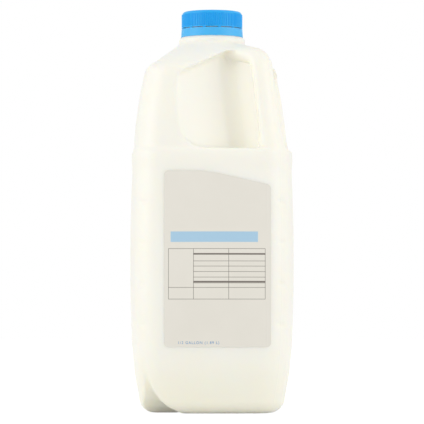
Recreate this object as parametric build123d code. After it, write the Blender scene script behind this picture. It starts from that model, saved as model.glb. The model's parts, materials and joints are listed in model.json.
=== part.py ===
from build123d import *
import os
from math import atan2, cos, degrees, radians, sin, sqrt, tan

# Half-gallon blow-moulded milk jug with a handle on one corner, its snap cap and its front label.
#
# Millimetres, +Z up, origin on the standing surface under the middle of the base. The label looks
# along -Y and the handle stands on the +X, -Y corner. The jug is its own mirror image about the
# upright plane through the handle: U runs out through the handle, and V runs across it.

# --- body: half widths are at the middles of its four sides ---
FACE_BULGE_R = 180.0        # plan radius of each slightly bulged side
CORNER_R = 18.0             # plan radius of the upright corners
BASE_ROUND = 9.0            # rounding of the bottom edge
FOOT_LEVELS = 6             # outlines that shape that rounding
FOOT_HALF = 46.2            # just above the bottom rounding
CREASE_Z = 26.0             # crease line above the foot
CREASE_HALF = 49.2
PANEL_BOTTOM_Z = 41.0       # the bulged label panels
PANEL_TOP_Z = 152.0
PANEL_EDGE_HALF = 50.6
PANEL_MID_HALF = 51.9
LEDGE_Z = 165.0             # top of the step under the handle's recess
LEDGE_LIP_HALF = 51.1
LEDGE_LIP_DROP = 6.5        # from the ledge's top down to the middle of its lip
LEDGE_STEP = 1.4            # how far the walls above stand in from the lip
SHOULDER_Z = 217.0          # where the walls turn into the roof
SHOULDER_HALF = 42.5
SHOULDER_R = 6.0
UPPER_MID_HALF = 47.4       # halfway from the ledge to the shoulder

# --- neck and cap ---
NECK_Z = 233.5              # top of the roof, at the foot of the neck
NECK_R = 20.3
BEAD_R = 21.6               # ring round the neck under the cap
BEAD_HEIGHT = 4.4
NECK_TOP_Z = 252.7
CAP_CLEARANCE = 0.3         # between the neck finish and the cap's bore
CAP_WALL = 1.2
CAP_TOP = 1.4
CAP_R = 19.35
CAP_EDGE_R = 1.8            # rounding round the cap's top
CAP_RIDGES = 96
RIDGE_DEPTH = 0.45
RIDGE_HEIGHT = 8.0
RIDGE_FOOT = 0.32           # half widths of a ridge at its foot and top, as shares of the pitch
RIDGE_FLAT = 0.14
BAND_HEIGHT = 5.2           # tamper band
BAND_FLARE = 0.35
TEAR_SLIT = 0.6
TEAR_BRIDGES = 12
BRIDGE_WIDTH = 1.6

# --- handle and its recess ---
GRIP_LEAN = 9.5             # degrees out of upright
GRIP_TOP_U = 43.2           # where the grip's line meets the arm's line
GRIP_TOP_Z = 222.8
GRIP_WIDE = 16.0            # across the hand
GRIP_THICK = 11.0
ARM_DROP = 12.0             # degrees below level, going out
ARM_START_U = 10.0
ARM_BEND_R = 9.0
FOOT_FLARE = 1.8            # how much the grip thickens into the ledge
FOOT_FLARE_HEIGHT = 13.0
WALL_U = 25.05              # inner wall of the finger hole, at WALL_Z
WALL_Z = 190.0
WALL_LEAN = 9.9             # degrees out of upright
WALL_HALF_WIDTH = 14.0
FLOOR_SLOPE = 0.24          # how fast the recess floor runs back from that wall
RECESS_SIDE = 21.5          # from the middle of a side to the recess's far edge
RECESS_EDGE_TOP_Z = 211.7
RECESS_TOP_Z = 227.5
RECESS_TOP_X = 9.5
RECESS_LOW_R = 19.0
RECESS_HIGH_R = 6.0

# --- corner dimples, bottom notches and push-up ---
DIMPLE_WIDE = 8.3
DIMPLE_TALL = 3.2
DIMPLE_DEPTH = 0.9
DIMPLE_LOW_Z = 55.0
DIMPLE_PITCH = 25.6
DIMPLES = 4
NOTCH_Z = 30.0              # top of the two notches in the bottom corners
NOTCH_HALF_WIDTH = 16.5     # at the standing surface
NOTCH_DEPTH = 17.0
NOTCH_TIP_HALF_WIDTH = 0.35 # of the fine groove at its top
NOTCH_TIP_DEPTH = 1.2
NOTCH_MOUTH_INSET = 14.5    # how far the base's rounding sets the mouth back at the floor
NOTCH_LEVELS = 7
PUSH_UP_R = 27.0
PUSH_UP_HEIGHT = 5.0
PUSH_UP_DRAFT = 4.0

# --- label ---
LABEL_LEFT = -29.7
LABEL_RIGHT = 36.5
LABEL_BOTTOM_Z = 41.5
LABEL_TOP_Z = 151.0
LABEL_BREAK = -4.0          # where the level top edge starts to slope
LABEL_SLOPE_DROP = 9.0
LABEL_CORNER_R = 2.5
LABEL_BREAK_R = 30.0
LABEL_THICK = 0.15

DIAGONAL = sqrt(2)
OUTSIDE = 80.0              # clear of the body on every side


def across(u, v, z):
    """A point given out through the handle, across it, and up."""
    return ((u + v) / DIAGONAL, (v - u) / DIAGONAL, z)


def corner_centre(half, corner=CORNER_R, bulge=FACE_BULGE_R):
    """How far out along X, and along Y, the centre of a round corner stands."""
    back = bulge - half
    reach = bulge - corner
    return (sqrt(2 * reach**2 - back**2) - back) / 2


def corner_reach(half):
    """From the jug's axis out to the skin of a corner."""
    return corner_centre(half) * DIAGONAL + CORNER_R


def outline(half, z, corner=CORNER_R, bulge=FACE_BULGE_R):
    """The body's level outline: four bulged sides joined by tangent round corners."""
    back = bulge - half
    centre = corner_centre(half, corner, bulge)
    turn = atan2(centre, centre + back)
    edge_x = bulge * cos(turn) - back
    edge_y = bulge * sin(turn)
    tip = centre + corner / DIAGONAL
    edges = []
    for quarter in range(4):
        place = Rot(0, 0, 90 * quarter)
        side = [(edge_x, -edge_y, z), (half, 0, z), (edge_x, edge_y, z)]
        round_corner = [(edge_x, edge_y, z), (tip, tip, z), (edge_y, edge_x, z)]
        edges.append(place * Edge.make_three_point_arc(*side))
        edges.append(place * Edge.make_three_point_arc(*round_corner))
    return Wire(edges)


def grown(half, z, inset, grow):
    """The same outline, moved in by `inset` and out by `grow` all round."""
    change = grow - inset
    return outline(half + change, z, CORNER_R + change, FACE_BULGE_R + change)


def arc_levels(start, middle, end, count):
    """Points (half width, height) along an arc of the side's upright outline."""
    arc = Edge.make_three_point_arc((*start, 0), (*middle, 0), (*end, 0))
    points = [arc.position_at(k / count) for k in range(count + 1)]
    return [(point.X, point.Y) for point in points]


def foot():
    """The bottom, rounded into the sides, up to the crease."""
    rings = []
    for k in range(FOOT_LEVELS + 1):
        swing = radians(90 * k / FOOT_LEVELS)
        height = BASE_ROUND * (1 - cos(swing))
        rings.append(grown(FOOT_HALF, height, BASE_ROUND * (1 - sin(swing)), 0))
    bottom = Solid.make_loft(rings)
    sides = Solid.make_loft([rings[-1], outline(CREASE_HALF, CREASE_Z)], True)
    flare = Solid.make_loft(
        [outline(CREASE_HALF, CREASE_Z), outline(PANEL_EDGE_HALF, PANEL_BOTTOM_Z)], True
    )
    return [bottom, sides, flare]


def panels(grow=0):
    """The bulged middle of the body, `grow` larger all round."""
    levels = arc_levels(
        (PANEL_EDGE_HALF, PANEL_BOTTOM_Z),
        (PANEL_MID_HALF, (PANEL_BOTTOM_Z + PANEL_TOP_Z) / 2),
        (PANEL_EDGE_HALF, PANEL_TOP_Z),
        6,
    )
    return Solid.make_loft([grown(half, z, 0, grow) for half, z in levels])


def ledge():
    """The lip over the panels and the step in to the walls above."""
    lip_z = LEDGE_Z - LEDGE_LIP_DROP
    step_half = LEDGE_LIP_HALF - LEDGE_STEP
    rise = [(PANEL_EDGE_HALF, PANEL_TOP_Z), (LEDGE_LIP_HALF, lip_z)]
    round_z = LEDGE_Z - LEDGE_STEP
    turn = arc_levels(
        (LEDGE_LIP_HALF, round_z),
        (step_half + LEDGE_STEP * cos(radians(45)), round_z + LEDGE_STEP * sin(radians(45))),
        (step_half, LEDGE_Z),
        3,
    )
    return [
        Solid.make_loft([outline(*level) for level in rise], True),
        Solid.make_loft([outline(LEDGE_LIP_HALF, lip_z), outline(*turn[0])], True),
        Solid.make_loft([outline(*level) for level in turn]),
    ]


def upper():
    """The walls beside the handle, the rounded shoulder and the roof up to the neck."""
    step_half = LEDGE_LIP_HALF - LEDGE_STEP
    mid_z = (LEDGE_Z + SHOULDER_Z) / 2
    roof = degrees(atan2(NECK_Z - SHOULDER_Z, SHOULDER_HALF - NECK_R))
    wall = degrees(atan2(UPPER_MID_HALF - SHOULDER_HALF, SHOULDER_Z - mid_z))
    setback = SHOULDER_R * tan(radians((90 - roof - wall) / 2))
    below = (
        SHOULDER_HALF + setback * sin(radians(wall)),
        SHOULDER_Z - setback * cos(radians(wall)),
    )
    above = (
        SHOULDER_HALF - setback * cos(radians(roof)),
        SHOULDER_Z + setback * sin(radians(roof)),
    )
    crown = SHOULDER_R / cos(radians((90 - roof - wall) / 2)) - SHOULDER_R
    facing = radians((wall + 90 - roof) / 2)
    tip = (SHOULDER_HALF - crown * cos(facing), SHOULDER_Z - crown * sin(facing))
    walls = arc_levels((step_half, LEDGE_Z), (UPPER_MID_HALF, mid_z), below, 5)
    turn = arc_levels(below, tip, above, 3)
    collar = outline(NECK_R, NECK_Z, NECK_R - 1, NECK_R + 1)
    return [
        Solid.make_loft([outline(*level) for level in walls]),
        Solid.make_loft([outline(*level) for level in turn]),
        Solid.make_loft([outline(*above), collar], True),
    ]


def neck():
    """The neck with its bead, and the plain finish that the cap covers."""
    finish_r = CAP_R - CAP_WALL - CAP_CLEARANCE
    bead_z = NECK_Z + BEAD_HEIGHT / 2
    side = Polyline(
        (0, NECK_Z - BEAD_HEIGHT),
        (NECK_R - 1, NECK_Z - BEAD_HEIGHT),
        (NECK_R - 0.5, NECK_Z),
        (BEAD_R, bead_z),
        (NECK_R - 0.8, bead_z + BEAD_HEIGHT / 2),
        (finish_r, bead_z + BEAD_HEIGHT / 2),
        (finish_r, NECK_TOP_Z),
        (0, NECK_TOP_Z),
        close=True,
    )
    return revolve(Plane.XZ * make_face(side), Axis.Z)


def recess_half():
    """The half of the handle's recess that opens through the front."""
    low_z = LEDGE_Z
    opening = make_face(
        Polyline(
            (-RECESS_SIDE, low_z),
            (OUTSIDE, low_z),
            (OUTSIDE, RECESS_TOP_Z),
            (RECESS_TOP_X, RECESS_TOP_Z),
            (-RECESS_SIDE, RECESS_EDGE_TOP_Z),
            close=True,
        )
    )
    corners = opening.vertices().group_by(Axis.X)[0].sort_by(Axis.Y)
    opening = fillet(corners[0], RECESS_LOW_R)
    top_corner = opening.vertices().sort_by(Axis.X)[:3].sort_by(Axis.Y)[-1]
    opening = fillet(top_corner, RECESS_HIGH_R)
    through = Pos(0, OUTSIDE, 0) * extrude(Plane.XZ * opening, 2 * OUTSIDE)
    rings = []
    for z in (low_z - 5, RECESS_TOP_Z + 5):
        wall_u = WALL_U - (z - WALL_Z) * tan(radians(WALL_LEAN))
        back_u = wall_u - FLOOR_SLOPE * (OUTSIDE - WALL_HALF_WIDTH)
        corners = [
            across(wall_u, 0, z),
            across(wall_u, -WALL_HALF_WIDTH, z),
            across(back_u, -OUTSIDE, z),
            across(OUTSIDE, -OUTSIDE, z),
            across(OUTSIDE, 0, z),
        ]
        rings.append(Wire.make_polygon(corners, close=True))
    return through & Solid.make_loft(rings, True)


def handle():
    """An oval tube: an arm out of the neck's foot, a bend, and a grip down into the ledge."""
    plane = Plane(origin=(0, 0, 0), x_dir=(1, -1, 0), z_dir=(-1, -1, 0))
    arm_z = GRIP_TOP_Z + (GRIP_TOP_U - ARM_START_U) * tan(radians(ARM_DROP))
    end_z = LEDGE_Z - LEDGE_LIP_DROP
    lean = tan(radians(GRIP_LEAN))
    route = FilletPolyline(
        (ARM_START_U, arm_z),
        (GRIP_TOP_U, GRIP_TOP_Z),
        (GRIP_TOP_U + (GRIP_TOP_Z - end_z) * lean, end_z),
        radius=ARM_BEND_R,
    )
    path = plane * route
    start = Plane(origin=path @ 0, x_dir=(1, 1, 0), z_dir=path % 0)
    tube = sweep(start * Ellipse(GRIP_WIDE / 2, GRIP_THICK / 2), path=path)
    rings = []
    for rise, flare in ((FOOT_FLARE_HEIGHT, 0), (0, FOOT_FLARE)):
        z = LEDGE_Z + rise
        u = GRIP_TOP_U + (GRIP_TOP_Z - z) * lean
        ring = Ellipse(GRIP_WIDE / 2 + flare, GRIP_THICK / 2 + flare)
        level = Plane(origin=across(u, 0, z), x_dir=(1, 1, 0), z_dir=path % 1)
        rings.append((level * ring).wire())
    return [tube, Solid.make_loft(rings, True)]


def dimple(quarter, z):
    """One shallow lozenge pressed into a corner."""
    dimple_r = ((DIMPLE_TALL / 2) ** 2 + DIMPLE_DEPTH**2) / (2 * DIMPLE_DEPTH)
    panel_mid_z = (PANEL_BOTTOM_Z + PANEL_TOP_Z) / 2
    share = (z - panel_mid_z) / (PANEL_TOP_Z - panel_mid_z)
    half = PANEL_MID_HALF - (PANEL_MID_HALF - PANEL_EDGE_HALF) * share**2
    out = corner_reach(half) + dimple_r - DIMPLE_DEPTH
    straight = DIMPLE_WIDE - DIMPLE_TALL
    bar = Cylinder(dimple_r, straight, rotation=(90, 0, 0))
    ends = [Pos(0, side * straight / 2, 0) * Sphere(dimple_r) for side in (-1, 1)]
    shape = bar + ends[0] + ends[1]
    return Rot(0, 0, 45 + 90 * quarter) * Pos(out, 0, z) * shape


def notch():
    """The channel that opens the bottom of the corner left of the label, widest at the floor."""
    below = 1.0             # the cutter starts under the standing surface
    low_reach, high_reach = corner_reach(FOOT_HALF), corner_reach(CREASE_HALF)
    rings = []
    for k in range(NOTCH_LEVELS):
        share = k / (NOTCH_LEVELS - 1)
        opening = (1 - share) ** 2
        z = (NOTCH_Z + below) * share - below
        width = NOTCH_HALF_WIDTH * opening + NOTCH_TIP_HALF_WIDTH
        depth = NOTCH_DEPTH * opening + NOTCH_TIP_DEPTH
        skin = low_reach + (high_reach - low_reach) * share - NOTCH_MOUTH_INSET * opening**3
        spread = (OUTSIDE - skin + depth) * width / depth
        corners = [
            across(0, depth - skin, z),
            across(spread, -OUTSIDE, z),
            across(-spread, -OUTSIDE, z),
        ]
        rings.append(Wire.make_polygon(corners, close=True))
    return Solid.make_loft(rings, True)


def push_up():
    """The shallow dish under the base."""
    return Pos(0, 0, PUSH_UP_HEIGHT / 2) * Cone(
        PUSH_UP_R, PUSH_UP_R - PUSH_UP_DRAFT, PUSH_UP_HEIGHT
    )


def joined(solids):
    """One solid from several that meet face to face or overlap."""
    whole = solids[0]
    for solid in solids[1:]:
        whole = whole + solid
    return whole


def jug():
    """The whole moulding, shut and solid."""
    half_recess = recess_half()
    mirror_plane = Plane(origin=(0, 0, 0), z_dir=(1, 1, 0))
    body = joined([*foot(), panels(), *ledge(), *upper()])
    body = body - half_recess - mirror(half_recess, about=mirror_plane)
    body = joined([body, neck(), *handle()])
    corner_notch = notch()
    body = body - corner_notch - mirror(corner_notch, about=mirror_plane) - push_up()
    for quarter in range(4):
        for k in range(DIMPLES):
            body = body - dimple(quarter, DIMPLE_LOW_Z + DIMPLE_PITCH * k)
    return body


def cap():
    """A ridged snap cap, with its tamper band held on by bridges across the tear slit."""
    band_z = NECK_Z + BEAD_HEIGHT
    slit_z = band_z + BAND_HEIGHT
    skirt_z = slit_z + TEAR_SLIT
    top_z = NECK_TOP_Z + CAP_TOP
    bore_r = CAP_R - CAP_WALL
    band = revolve(
        Plane.XZ
        * make_face(
            Polyline(
                (bore_r, band_z),
                (CAP_R + BAND_FLARE, band_z),
                (CAP_R, slit_z),
                (bore_r, slit_z),
                close=True,
            )
        ),
        Axis.Z,
    )
    solid_r = CAP_R - RIDGE_DEPTH
    crown = Pos(0, 0, (skirt_z + top_z) / 2) * Cylinder(solid_r, top_z - skirt_z)
    crown = fillet(crown.edges().group_by(Axis.Z)[-1], CAP_EDGE_R)
    ridge_z = top_z - CAP_EDGE_R - RIDGE_HEIGHT
    rim = []
    profile = ((-RIDGE_FOOT, solid_r), (-RIDGE_FLAT, CAP_R), (RIDGE_FLAT, CAP_R), (RIDGE_FOOT, solid_r))
    for k in range(CAP_RIDGES):
        for offset, radius in profile:
            turn = radians(360 * (k + offset) / CAP_RIDGES)
            rim.append((radius * cos(turn), radius * sin(turn)))
    ridges = extrude(make_face(Polyline(*rim, close=True)), RIDGE_HEIGHT)
    lip = Pos(0, 0, (skirt_z + ridge_z) / 2) * Cylinder(CAP_R, ridge_z - skirt_z)
    bore_top = Pos(0, 0, (skirt_z + NECK_TOP_Z) / 2) * Cylinder(bore_r, NECK_TOP_Z - skirt_z)
    skirt = crown + Pos(0, 0, ridge_z) * ridges + lip - bore_top
    bridge = Box(CAP_WALL / 2, BRIDGE_WIDTH, TEAR_SLIT)
    whole = skirt + band
    for k in range(TEAR_BRIDGES):
        place = Rot(0, 0, 360 * (k + 0.5) / TEAR_BRIDGES)
        whole = whole + place * Pos(bore_r + CAP_WALL / 2, 0, slit_z + TEAR_SLIT / 2) * bridge
    return whole


def label():
    """A thin label that follows the bulged front panel, its top edge sloping down to the right."""
    sheet = make_face(
        Polyline(
            (LABEL_LEFT, LABEL_BOTTOM_Z),
            (LABEL_RIGHT, LABEL_BOTTOM_Z),
            (LABEL_RIGHT, LABEL_TOP_Z - LABEL_SLOPE_DROP),
            (LABEL_BREAK, LABEL_TOP_Z),
            (LABEL_LEFT, LABEL_TOP_Z),
            close=True,
        )
    )
    bend = sheet.vertices().sort_by_distance((LABEL_BREAK, LABEL_TOP_Z, 0))[0]
    sheet = fillet(bend, LABEL_BREAK_R)
    outer = [sheet.vertices().group_by(Axis.X)[side] for side in (0, -1)]
    sheet = fillet([*outer[0], *outer[1]], LABEL_CORNER_R)
    through = extrude(Plane.XZ * sheet, OUTSIDE)
    return (panels(LABEL_THICK) & through) - panels()


def write(name, shape):
    """One sub-part, in a STEP file named after its node."""
    export_step(shape, f"parts/{name}.step")
    print(name, round(shape.volume / 1000, 2), "cm3")


os.makedirs("parts", exist_ok=True)
write("jug", jug())
write("cap", cap())
write("label", label())
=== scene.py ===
import json
from math import atan2, pi, radians

import bpy
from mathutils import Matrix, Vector

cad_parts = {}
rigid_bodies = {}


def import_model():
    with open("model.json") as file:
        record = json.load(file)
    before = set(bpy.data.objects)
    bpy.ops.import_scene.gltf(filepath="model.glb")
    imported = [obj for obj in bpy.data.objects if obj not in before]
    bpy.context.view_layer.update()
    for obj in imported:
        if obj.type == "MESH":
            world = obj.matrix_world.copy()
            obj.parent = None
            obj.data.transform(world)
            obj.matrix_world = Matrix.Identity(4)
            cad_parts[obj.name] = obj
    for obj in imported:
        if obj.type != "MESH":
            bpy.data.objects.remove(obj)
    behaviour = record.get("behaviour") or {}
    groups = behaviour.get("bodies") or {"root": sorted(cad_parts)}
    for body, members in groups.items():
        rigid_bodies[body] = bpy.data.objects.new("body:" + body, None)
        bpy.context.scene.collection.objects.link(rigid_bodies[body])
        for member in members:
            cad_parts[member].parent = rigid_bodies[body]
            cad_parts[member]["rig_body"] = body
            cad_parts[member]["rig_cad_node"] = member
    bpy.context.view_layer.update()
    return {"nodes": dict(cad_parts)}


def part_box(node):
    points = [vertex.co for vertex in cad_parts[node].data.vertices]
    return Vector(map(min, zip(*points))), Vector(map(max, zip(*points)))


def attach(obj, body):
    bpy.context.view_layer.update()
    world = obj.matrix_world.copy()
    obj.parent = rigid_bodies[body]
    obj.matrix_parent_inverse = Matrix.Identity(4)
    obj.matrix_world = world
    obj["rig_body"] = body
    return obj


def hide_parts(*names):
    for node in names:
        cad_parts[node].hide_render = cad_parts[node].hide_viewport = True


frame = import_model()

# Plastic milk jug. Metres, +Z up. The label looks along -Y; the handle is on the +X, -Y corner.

MM = 0.001

CAP_LOW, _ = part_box("cap")
LABEL_LOW, LABEL_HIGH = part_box("label")

# --- camera: low, level with the lower part of the label, looking slightly up ---
CAMERA_DISTANCE = 1.92
CAMERA_HEIGHT = 0.060
AIM_HEIGHT = 0.1268
VIEW_HEIGHT = 0.2695        # seen at the jug's middle
SENSOR = 36.0               # millimetres
CAMERA_REACH = 50

# --- jug skin ---
MERGE_GAP = 0.001 * MM      # points closer than this are one
SKIN_VOXEL = 1.1 * MM
SMOOTH_FACTOR = 0.5
SKIN_SMOOTHING = 8          # passes

# --- label outline, from the CAD label's box ---
LABEL_BREAK = -4.0 * MM     # where the level top edge starts to slope
LABEL_DROP = 9.0 * MM       # from the break to the right side
FLAT_ANGLE = radians(0.5)   # outline points that bend less than this are dropped
LABEL_CORNER = 2.5 * MM
CORNER_SEGMENTS = 5
LABEL_BEND = 9.0 * MM       # rounding of the break
BEND_SEGMENTS = 6
LABEL_LIFT = 0.14 * MM      # off the jug's skin
PRINT_LIFT = 0.17 * MM
SHEET_STEP = 2.5 * MM       # between the cuts that let a sheet follow the bulge

# --- print: the table is placed from the label's box, and the rest from the table ---
TABLE_LEFT = 2.6 * MM
TABLE_RIGHT = 3.4 * MM
TABLE_FOOT = 29.5 * MM
TABLE_HEAD = 61.0 * MM
FIRST_COLUMN = 15.5 * MM
SECOND_COLUMN = 21.8 * MM
LINE = 0.28 * MM
FULL_RULE = 7.2 * MM        # the lowest rule crosses all three columns
SHORT_RULES = [rise * MM for rise in (10.0, 13.6, 17.0, 20.4, 23.6)]
BARS = [rise * MM for rise in (10.4, 27.6)]
BAR_THICK = 1.0 * MM
HEADLINE_LEFT = 1.5 * MM
HEADLINE_RIGHT = 8.0 * MM   # in from the label's side
HEADLINE_LOW = 4.0 * MM
HEADLINE_HIGH = 10.5 * MM
PRINT_EDGE = 0.12 * MM      # softness of a printed edge
INK_COVER = 0.85
HEADLINE_COVER = 0.8

# --- volume text, from the label's lower left corner ---
TEXT_SIZE = 2.3 * MM
TEXT_SPACING = 1.25
TEXT_LEFT = 8.5 * MM
TEXT_RISE = 1.9 * MM

# --- shading bands ---
FOOT_SHADE_TOP = 50.0 * MM   # painted shade: the jug is darkened below this, towards the floor
# how strongly the painted shade darkens the foot of the jug
FOOT_SHADE_STRENGTH = 0.45
SEAM_CORE = 0.15 * MM
SEAM_EDGE = 0.55 * MM
BAND_START = 5.2 * MM       # above the cap's foot, where the tamper band's blue ends
BAND_END = 5.8 * MM

# --- colours, as screen values ---
JUG_WARM = (251, 247, 232)
JUG_PALE = (254, 252, 242)
# painted shade colour for the foot of the jug
JUG_FOOT_SHADE = (242, 238, 217)
CAP_DEEP = (14, 172, 246)
CAP_PALE = (24, 180, 250)
CAP_BAND = (66, 184, 248)
PAPER_DEEP = (229, 225, 214)
PAPER_PALE = (235, 231, 221)
HEADLINE_BLUE = (150, 200, 232)
TABLE_INK = (78, 66, 58)
VOLUME_INK = (70, 150, 205)

# --- floor, room and lamps ---
FLOOR_SIZE = 12
FLOOR_LIT = (0.85, 0.85, 0.85, 1.0)
FLOOR_SEEN = (0.22, 0.22, 0.22, 1.0)

WHITE = (1.0, 1.0, 1.0, 1.0)
ROOM_LEVEL = 0.83           # how brightly the white room lights the jug
FLOOR_GLOW = 0.9            # what the camera sees of the floor before its own light is added
LAMP_SIZE = 1.2
LAMP_AIM = (0, 0, 0.12)
LEFT_LAMP = (-1.5, -0.6, 0.6)
LEFT_POWER = 6.5
RIGHT_LAMP = (1.5, -0.6, 0.5)
RIGHT_POWER = 6


def linear(red, green, blue):
    """A shader colour from screen values of 0 to 255."""
    def one(value):
        value = value / 255
        return value / 12.92 if value <= 0.04045 else ((value + 0.055) / 1.055) ** 2.4
    return (one(red), one(green), one(blue), 1.0)


class Wire:
    """A shader socket that adds Math nodes when it is used in an expression."""

    def __init__(self, shader, socket):
        self.shader = shader
        self.socket = socket

    def sum(self, operation, *values):
        return self.shader.node("ShaderNodeMath", {"operation": operation}, *values)

    def __add__(self, other):
        return self.sum("ADD", self, other)

    def __radd__(self, other):
        return self.sum("ADD", other, self)

    def __sub__(self, other):
        return self.sum("SUBTRACT", self, other)

    def __rsub__(self, other):
        return self.sum("SUBTRACT", other, self)

    def __mul__(self, other):
        return self.sum("MULTIPLY", self, other)

    def __rmul__(self, other):
        return self.sum("MULTIPLY", other, self)

    def size(self):
        return self.sum("ABSOLUTE", self)

    def most(self, other):
        return self.sum("MAXIMUM", self, other)

    def least(self, other):
        return self.sum("MINIMUM", self, other)


class Shader:
    """One material, with a Principled surface."""

    def __init__(self, name):
        self.material = bpy.data.materials.new(name)
        self.material.use_nodes = True
        self.nodes = self.material.node_tree.nodes
        self.links = self.material.node_tree.links
        self.surface = self.nodes["Principled BSDF"]

    def node(self, kind, settings, *values, output=0, **named):
        """Any node: its settings first, then the values or links of its sockets."""
        made = self.nodes.new(kind)
        for key, value in settings.items():
            setattr(made, key, value)
        for index, value in list(enumerate(values)) + list(named.items()):
            target = made.inputs[index.replace("_", " ") if isinstance(index, str) else index]
            self.feed(target, value)
        return Wire(self, made.outputs[output])

    def feed(self, target, value):
        if isinstance(value, Wire):
            self.links.new(value.socket, target)
        else:
            target.default_value = value

    def set(self, **values):
        for name, value in values.items():
            self.feed(self.surface.inputs[name.replace("_", " ")], value)

    def place(self):
        """Object coordinates, and their X, Y and Z."""
        where = self.node("ShaderNodeTexCoord", {}, output="Object")
        split = self.nodes.new("ShaderNodeSeparateXYZ")
        self.links.new(where.socket, split.inputs[0])
        return where, [Wire(self, split.outputs[k]) for k in range(3)]

    def noise(self, where, scale, detail):
        return self.node("ShaderNodeTexNoise", {}, Vector=where, Scale=scale, Detail=detail)

    def blend(self, amount, low, high):
        """One colour over another."""
        made = self.nodes.new("ShaderNodeMix")
        made.data_type = "RGBA"
        self.feed(made.inputs["Factor"], amount)
        self.feed(made.inputs[6], low)
        self.feed(made.inputs[7], high)
        return Wire(self, made.outputs[2])

    def step(self, value, start, end):
        """0 before start and 1 after end, smooth between."""
        return self.node(
            "ShaderNodeMapRange",
            {"interpolation_type": "SMOOTHSTEP"},
            Value=value, From_Min=start, From_Max=end, To_Min=0.0, To_Max=1.0,
        )

    def bump(self, height, depth, strength):
        return self.node(
            "ShaderNodeBump", {}, Height=height, Distance=depth, Strength=strength, output="Normal"
        )


def alone(piece):
    """Selects one object and nothing else."""
    bpy.ops.object.select_all(action="DESELECT")
    piece.select_set(True)
    bpy.context.view_layer.objects.active = piece


def apply(piece, kind, **settings):
    """Adds a modifier, sets it and applies it."""
    alone(piece)
    modifier = piece.modifiers.new(kind.title(), kind)
    for key, value in settings.items():
        setattr(modifier, key, value)
    bpy.ops.object.modifier_apply(modifier=modifier.name)


def finish(piece, material):
    """Gives a piece its one material."""
    piece.data.materials.clear()
    piece.data.materials.append(material)


def settle(piece):
    """Moves the object's place into its mesh."""
    alone(piece)
    bpy.ops.object.transform_apply(location=True, rotation=True, scale=True)


def jug_skin():
    """The moulding's skin: the CAD solid with its edges softened as blown plastic is."""
    source = frame["nodes"]["jug"]
    alone(source)
    bpy.ops.object.duplicate()
    skin = bpy.context.active_object
    skin.name = "jug_skin"
    skin.data.name = "jug_skin"
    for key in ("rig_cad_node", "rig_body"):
        if key in skin:
            del skin[key]
    skin.parent = None
    alone(skin)
    bpy.ops.object.mode_set(mode="EDIT")
    bpy.ops.mesh.select_all(action="SELECT")
    bpy.ops.mesh.remove_doubles(threshold=MERGE_GAP)
    bpy.ops.object.mode_set(mode="OBJECT")
    apply(skin, "REMESH", mode="VOXEL", voxel_size=SKIN_VOXEL)
    apply(skin, "SMOOTH", factor=SMOOTH_FACTOR, iterations=SKIN_SMOOTHING)
    alone(skin)
    bpy.ops.object.shade_smooth()
    finish(skin, jug_plastic())
    return skin


def jug_plastic():
    """Milk-white blown polyethylene, a little uneven, with a fine parting seam and painted shade
    darkening it towards the floor.
    """
    shader = Shader("jug_plastic")
    where, (x, y, z) = shader.place()
    cloud = shader.noise(where, scale=22.0, detail=3.0)
    grain = shader.noise(where, scale=900.0, detail=2.0)
    wave = shader.noise(where, scale=60.0, detail=1.0)
    # painted shade: the colour darkens and warms towards the floor
    foot = 1 - shader.step(z, 0.0, FOOT_SHADE_TOP)
    seam = 1 - shader.step((x + y).size(), SEAM_CORE, SEAM_EDGE)
    colour = shader.blend(cloud, linear(*JUG_WARM), linear(*JUG_PALE))
    colour = shader.blend(foot * FOOT_SHADE_STRENGTH, colour, linear(*JUG_FOOT_SHADE))
    shader.set(
        Base_Color=colour,
        Roughness=0.34 + 0.08 * cloud,
        Normal=shader.bump(
            wave * 0.5 + grain * 0.05 + seam * 0.35, depth=0.35 * MM, strength=0.6
        ),
        Subsurface_Weight=0.35,
        Subsurface_Radius=(1.0, 0.8, 0.5),
        Subsurface_Scale=0.008,
        IOR=1.5,
    )
    return shader.material


def cap_plastic():
    """Blue moulded plastic, a little paler on the tamper band."""
    shader = Shader("cap_plastic")
    where, (_, _, z) = shader.place()
    cloud = shader.noise(where, scale=120.0, detail=2.0)
    grain = shader.noise(where, scale=700.0, detail=2.0)
    band = 1 - shader.step(z, CAP_LOW.z + BAND_START, CAP_LOW.z + BAND_END)
    blue = shader.blend(cloud, linear(*CAP_DEEP), linear(*CAP_PALE))
    shader.set(
        Base_Color=shader.blend(band, blue, linear(*CAP_BAND)),
        Roughness=0.38 + 0.06 * cloud,
        Normal=shader.bump(grain, depth=0.03 * MM, strength=0.4),
        Subsurface_Weight=0.2,
        Subsurface_Radius=(0.2, 0.6, 1.0),
        Subsurface_Scale=0.002,
    )
    return shader.material


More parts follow.
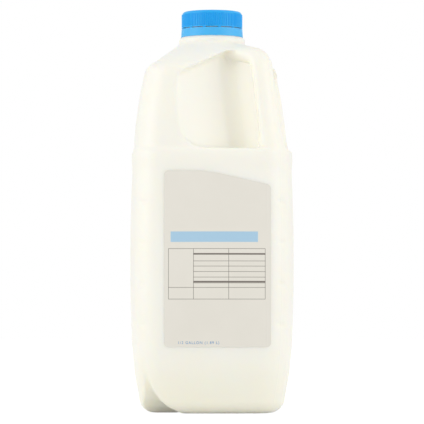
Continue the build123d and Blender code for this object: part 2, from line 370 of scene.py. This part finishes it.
def label_print():
    """Off-white film with a table's frame, bars and rules, and a pale headline field."""
    shader = Shader("label_print")
    where, (x, _, z) = shader.place()

    def field(left, right, low, high):
        """1 inside an upright rectangle and 0 outside it."""
        across = shader.step(x, left - PRINT_EDGE, left + PRINT_EDGE)
        across = across * (1 - shader.step(x, right - PRINT_EDGE, right + PRINT_EDGE))
        up = shader.step(z, low - PRINT_EDGE, low + PRINT_EDGE)
        return across * up * (1 - shader.step(z, high - PRINT_EDGE, high + PRINT_EDGE))

    left, right = LABEL_LOW.x + TABLE_LEFT, LABEL_HIGH.x - TABLE_RIGHT
    low, high = LABEL_LOW.z + TABLE_FOOT, LABEL_LOW.z + TABLE_HEAD
    first = left + FIRST_COLUMN
    second = first + SECOND_COLUMN
    lines = field(left, right, low, high)
    for start, end in ((left + LINE, first), (first + LINE, second), (second + LINE, right - LINE)):
        lines = lines - field(start, end, low + LINE, high - LINE)
    lines = lines + field(left, right, low + FULL_RULE, low + FULL_RULE + LINE)
    for rise in SHORT_RULES:
        lines = lines + field(first, right, low + rise, low + rise + LINE)
    for rise in BARS:
        lines = lines + field(first, right, low + rise, low + rise + BAR_THICK)
    headline = field(
        left + HEADLINE_LEFT, LABEL_HIGH.x - HEADLINE_RIGHT, high + HEADLINE_LOW, high + HEADLINE_HIGH
    )
    cloud = shader.noise(where, scale=40.0, detail=3.0)
    grain = shader.noise(where, scale=300.0, detail=2.0)
    paper = shader.blend(cloud, linear(*PAPER_DEEP), linear(*PAPER_PALE))
    printed = shader.blend(headline * HEADLINE_COVER, paper, linear(*HEADLINE_BLUE))
    printed = shader.blend((lines * INK_COVER).least(INK_COVER), printed, linear(*TABLE_INK))
    shader.set(
        Base_Color=printed,
        Roughness=0.45,
        Normal=shader.bump(grain, depth=0.05 * MM, strength=0.3),
    )
    return shader.material


def ink(name, colour):
    """Printed ink, slightly uneven."""
    shader = Shader(name)
    where, _ = shader.place()
    cloud = shader.noise(where, scale=500.0, detail=2.0)
    darker = tuple(value * 0.85 for value in colour[:3]) + (1.0,)
    shader.set(Base_Color=shader.blend(cloud, darker, colour), Roughness=0.45)
    return shader.material


def lay_on_front(piece, skin, lift):
    """Cuts a flat upright piece into small faces and presses it onto the front panel."""
    low = Vector([min(v.co[k] for v in piece.data.vertices) for k in range(3)])
    high = Vector([max(v.co[k] for v in piece.data.vertices) for k in range(3)])
    alone(piece)
    bpy.ops.object.mode_set(mode="EDIT")
    for axis, normal in ((0, (1, 0, 0)), (2, (0, 0, 1))):
        count = int((high[axis] - low[axis]) / SHEET_STEP)
        for k in range(1, count + 1):
            point = list(low)
            point[axis] = low[axis] + (high[axis] - low[axis]) * k / (count + 1)
            bpy.ops.mesh.select_all(action="SELECT")
            bpy.ops.mesh.bisect(plane_co=point, plane_no=normal)
    bpy.ops.object.mode_set(mode="OBJECT")
    apply(
        piece, "SHRINKWRAP", target=skin, wrap_method="PROJECT", use_project_x=False,
        use_project_y=True, use_project_z=False, use_negative_direction=True,
        use_positive_direction=True, wrap_mode="ABOVE_SURFACE", offset=lift,
    )


def label_sheet(skin):
    """The label's flat outline, with its corners and the break of its top edge rounded."""
    bpy.ops.object.select_all(action="DESELECT")
    width = LABEL_HIGH.x - LABEL_LOW.x
    height = LABEL_HIGH.z - LABEL_LOW.z
    middle = (LABEL_LOW + LABEL_HIGH) / 2
    bpy.ops.mesh.primitive_plane_add(
        size=1, location=(middle.x, LABEL_LOW.y, middle.z), rotation=(pi / 2, 0, 0)
    )
    sheet = bpy.context.active_object
    sheet.name = "label_sheet"
    sheet.scale = (width, height, 1)
    settle(sheet)
    bpy.ops.object.mode_set(mode="EDIT")
    bpy.ops.mesh.select_all(action="SELECT")
    bpy.ops.mesh.bisect(plane_co=(LABEL_BREAK, 0, 0), plane_no=(1, 0, 0))
    bpy.ops.mesh.select_all(action="SELECT")
    run = LABEL_HIGH.x - LABEL_BREAK
    bpy.ops.mesh.bisect(
        plane_co=(LABEL_BREAK, 0, LABEL_HIGH.z), plane_no=(LABEL_DROP, 0, run), clear_outer=True
    )
    bpy.ops.mesh.select_all(action="SELECT")
    bpy.ops.mesh.dissolve_limited(angle_limit=FLAT_ANGLE)
    bpy.ops.object.mode_set(mode="OBJECT")

    def at_side(x):
        return x < LABEL_LOW.x + LABEL_CORNER or x > LABEL_HIGH.x - LABEL_CORNER

    def at_break(x):
        return abs(x - LABEL_BREAK) < MM

    round_outline(sheet, at_side, LABEL_CORNER, CORNER_SEGMENTS)
    round_outline(sheet, at_break, LABEL_BEND, BEND_SEGMENTS)
    return sheet


def round_outline(sheet, chosen, offset, segments):
    """Rounds the outline's points whose X is chosen."""
    alone(sheet)
    for vertex in sheet.data.vertices:
        vertex.select = chosen(vertex.co.x)
    for edge in sheet.data.edges:
        edge.select = False
    for face in sheet.data.polygons:
        face.select = False
    bpy.ops.object.mode_set(mode="EDIT")
    bpy.ops.mesh.select_mode(type="VERT")
    bpy.ops.mesh.bevel(affect="VERTICES", offset=offset, segments=segments)
    bpy.ops.object.mode_set(mode="OBJECT")


def stage():
    """A white floor and white surroundings that light the jug evenly."""
    bpy.ops.object.select_all(action="DESELECT")
    bpy.ops.mesh.primitive_plane_add(size=FLOOR_SIZE, location=(0, 0, 0))
    floor = bpy.context.active_object
    floor.name = "floor"
    shader = Shader("floor_white")
    seen = shader.node("ShaderNodeLightPath", {}, output="Is Camera Ray")
    glossy = shader.node("ShaderNodeLightPath", {}, output="Is Glossy Ray")
    through = shader.node("ShaderNodeLightPath", {}, output="Is Transmission Ray")
    plain = seen.most(glossy).most(through)
    shader.set(
        Base_Color=shader.blend(plain, FLOOR_LIT, FLOOR_SEEN),
        Roughness=0.9, Specular_IOR_Level=0.0,
        Emission_Color=WHITE, Emission_Strength=plain * FLOOR_GLOW,
    )
    floor.data.materials.append(shader.material)

    world = bpy.data.worlds.new("studio")
    world.use_nodes = True
    bpy.context.scene.world = world
    nodes, links = world.node_tree.nodes, world.node_tree.links
    back = nodes["Background"]
    back.inputs["Color"].default_value = WHITE
    path = nodes.new("ShaderNodeLightPath")
    both = nodes.new("ShaderNodeMath")
    both.operation = "MAXIMUM"
    links.new(path.outputs["Is Camera Ray"], both.inputs[0])
    links.new(path.outputs["Is Transmission Ray"], both.inputs[1])
    level = nodes.new("ShaderNodeMapRange")
    level.inputs["To Min"].default_value = ROOM_LEVEL
    level.inputs["To Max"].default_value = 1.0
    links.new(both.outputs[0], level.inputs["Value"])
    links.new(level.outputs[0], back.inputs["Strength"])


def lamp(name, place, aim, size, power):
    """A square soft lamp."""
    data = bpy.data.lights.new(name, "AREA")
    data.shape = "SQUARE"
    data.size = size
    data.energy = power
    made = bpy.data.objects.new(name, data)
    bpy.context.scene.collection.objects.link(made)
    made.location = place
    made.rotation_euler = (Vector(aim) - Vector(place)).to_track_quat("-Z", "Y").to_euler()


def camera():
    """The camera in front of the label, tilted up to the aim height."""
    data = bpy.data.cameras.new("camera")
    data.sensor_width = SENSOR
    data.lens = SENSOR * CAMERA_DISTANCE / VIEW_HEIGHT
    data.clip_end = CAMERA_REACH
    made = bpy.data.objects.new("camera", data)
    bpy.context.scene.collection.objects.link(made)
    made.location = (0, -CAMERA_DISTANCE, CAMERA_HEIGHT)
    rise = atan2(AIM_HEIGHT - CAMERA_HEIGHT, CAMERA_DISTANCE)
    made.rotation_euler = (pi / 2 + rise, 0, 0)
    bpy.context.scene.camera = made


def volume_text(skin):
    """The plain fill volume at the foot of the label."""
    bpy.ops.object.select_all(action="DESELECT")
    bpy.ops.object.text_add(location=(0, 0, 0))
    words = bpy.context.active_object
    words.name = "volume_text"
    words.data.body = "1/2 GALLON (1.89 L)"
    words.data.size = TEXT_SIZE
    words.data.space_character = TEXT_SPACING
    words.rotation_euler = (pi / 2, 0, 0)
    words.location = (LABEL_LOW.x + TEXT_LEFT, LABEL_LOW.y, LABEL_LOW.z + TEXT_RISE)
    alone(words)
    bpy.ops.object.convert(target="MESH")
    words = bpy.context.active_object
    settle(words)
    lay_on_front(words, skin, PRINT_LIFT)
    finish(words, ink("volume_ink", linear(*VOLUME_INK)))
    return words


stage()
camera()
lamp("left", LEFT_LAMP, LAMP_AIM, LAMP_SIZE, LEFT_POWER)
lamp("right", RIGHT_LAMP, LAMP_AIM, LAMP_SIZE, RIGHT_POWER)

skin = jug_skin()
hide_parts("jug")
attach(skin, "root")

sheet = label_sheet(skin)
lay_on_front(sheet, skin, LABEL_LIFT)
finish(sheet, label_print())
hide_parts("label")
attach(sheet, "root")

words = volume_text(skin)
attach(words, "root")

cap = frame["nodes"]["cap"]
finish(cap, cap_plastic())

bpy.context.scene.view_settings.view_transform = "Standard"
